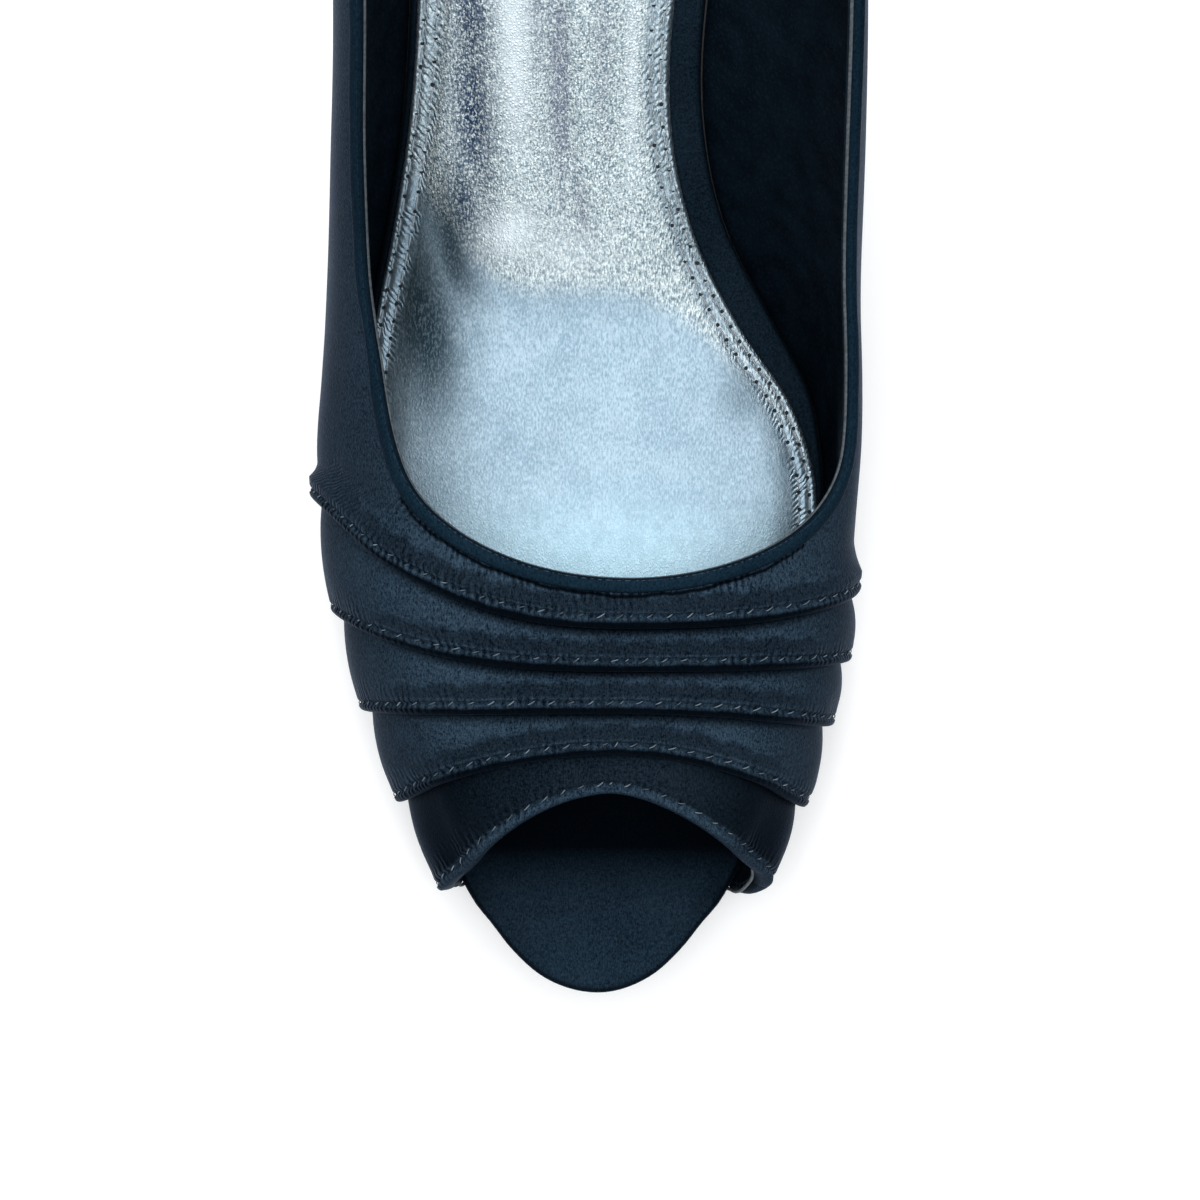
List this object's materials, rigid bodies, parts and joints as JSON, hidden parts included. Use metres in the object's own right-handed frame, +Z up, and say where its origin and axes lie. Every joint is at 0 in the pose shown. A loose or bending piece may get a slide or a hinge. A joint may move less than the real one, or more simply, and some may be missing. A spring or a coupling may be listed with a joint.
{
  "type": "peep toe pump",
  "caption": "Open-toed satin pump with a pleated vamp, a metallic sock lining and a slim covered high heel.",
  "frame": {"origin": "on the floor under the centre of the shoe's bounding box", "axes": "+Z up, +Y from toe to heel, +X towards the inner (medial) side of the foot"},
  "size_m": [0.0844, 0.228, 0.1372],
  "materials": {
    "upper": "satin",
    "outsole": "matte",
    "insole": "satin",
    "sock_lining": "metallic, fine grain",
    "heel": "satin over a hard core",
    "top_piece": "matte"
  },
  "bodies": {
    "root": {"upper": "upper", "outsole": "outsole", "insole": "insole", "sock_lining": "sock_lining", "heel": "heel", "top_piece": "top_piece"}
  },
  "joints": []
}
